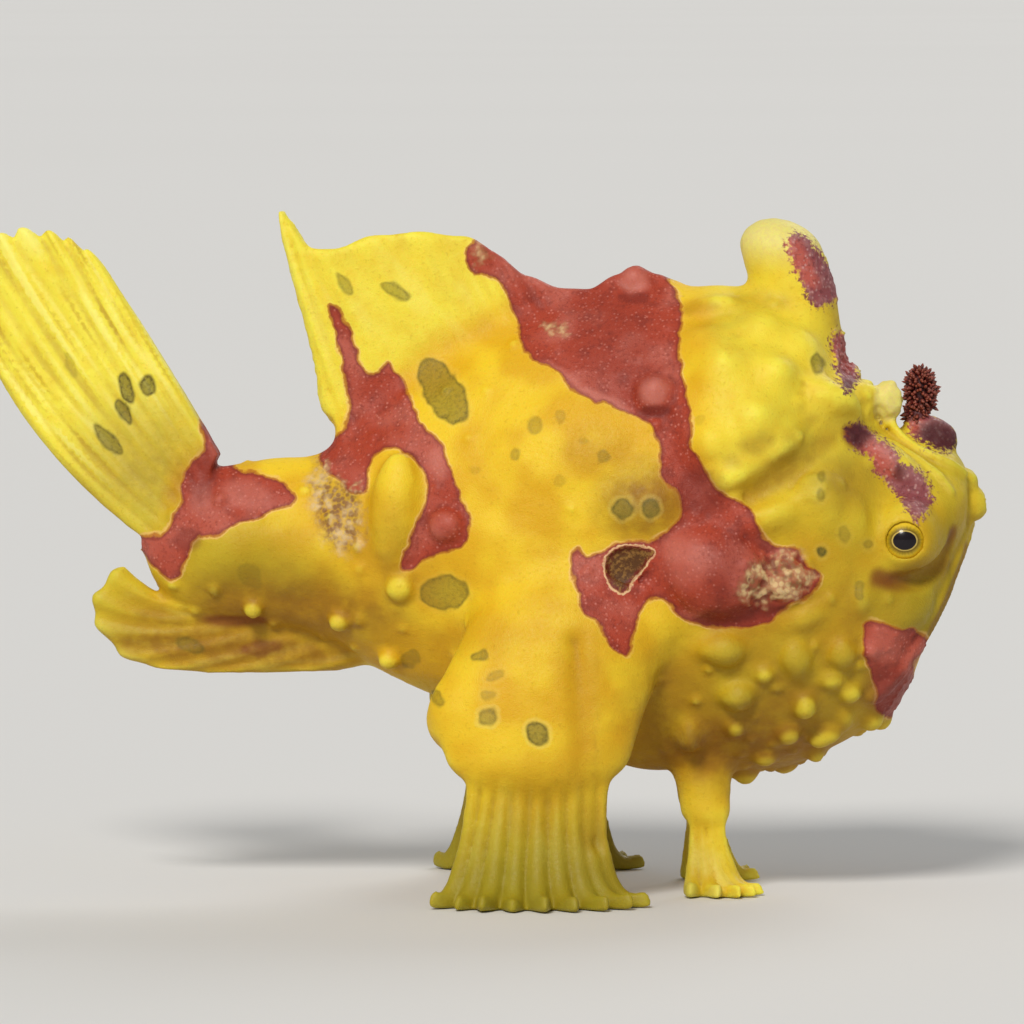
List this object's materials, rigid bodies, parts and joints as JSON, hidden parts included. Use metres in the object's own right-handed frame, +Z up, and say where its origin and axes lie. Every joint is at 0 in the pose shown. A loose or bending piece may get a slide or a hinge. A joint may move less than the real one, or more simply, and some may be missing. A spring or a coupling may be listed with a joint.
{
  "type": "frogfish",
  "caption": "Life-size warty frogfish standing on its hand-like fins, dorsal and tail fins raised and lure folded back.",
  "frame": {"origin": "on the floor under the middle of the fish's bounding box", "axes": "+X towards the snout, +Y to the fish's left, +Z up"},
  "size_m": [0.1016, 0.0492, 0.068],
  "materials": {
    "yellow_skin": "soft satin skin, lemon to ochre yellow with brick-red saddles and olive spots",
    "cream_skin": "velvety pale skin of the third spine and the lure's bait",
    "plum_skin": "dark plum-red frilled skin",
    "eye": "glossy eye with a dark pupil and a golden iris"
  },
  "bodies": {
    "root": {"head": "yellow_skin", "lower_jaw": "yellow_skin", "torso": "yellow_skin", "tail_stalk": "yellow_skin", "dorsal_fin": "yellow_skin", "anal_fin": "yellow_skin", "tail_fin": "yellow_skin", "dorsal_spine_3": "cream_skin", "dorsal_spine_2": "plum_skin", "lure_rod": "yellow_skin", "lure_bait": "cream_skin", "eye_right": "eye", "eye_left": "eye", "pectoral_arm_right": "yellow_skin", "pectoral_arm_left": "yellow_skin", "pectoral_hand_right": "yellow_skin", "pectoral_hand_left": "yellow_skin", "pelvic_leg_right": "yellow_skin", "pelvic_leg_left": "yellow_skin", "pelvic_foot_right": "yellow_skin", "pelvic_foot_left": "yellow_skin"}
  },
  "joints": []
}
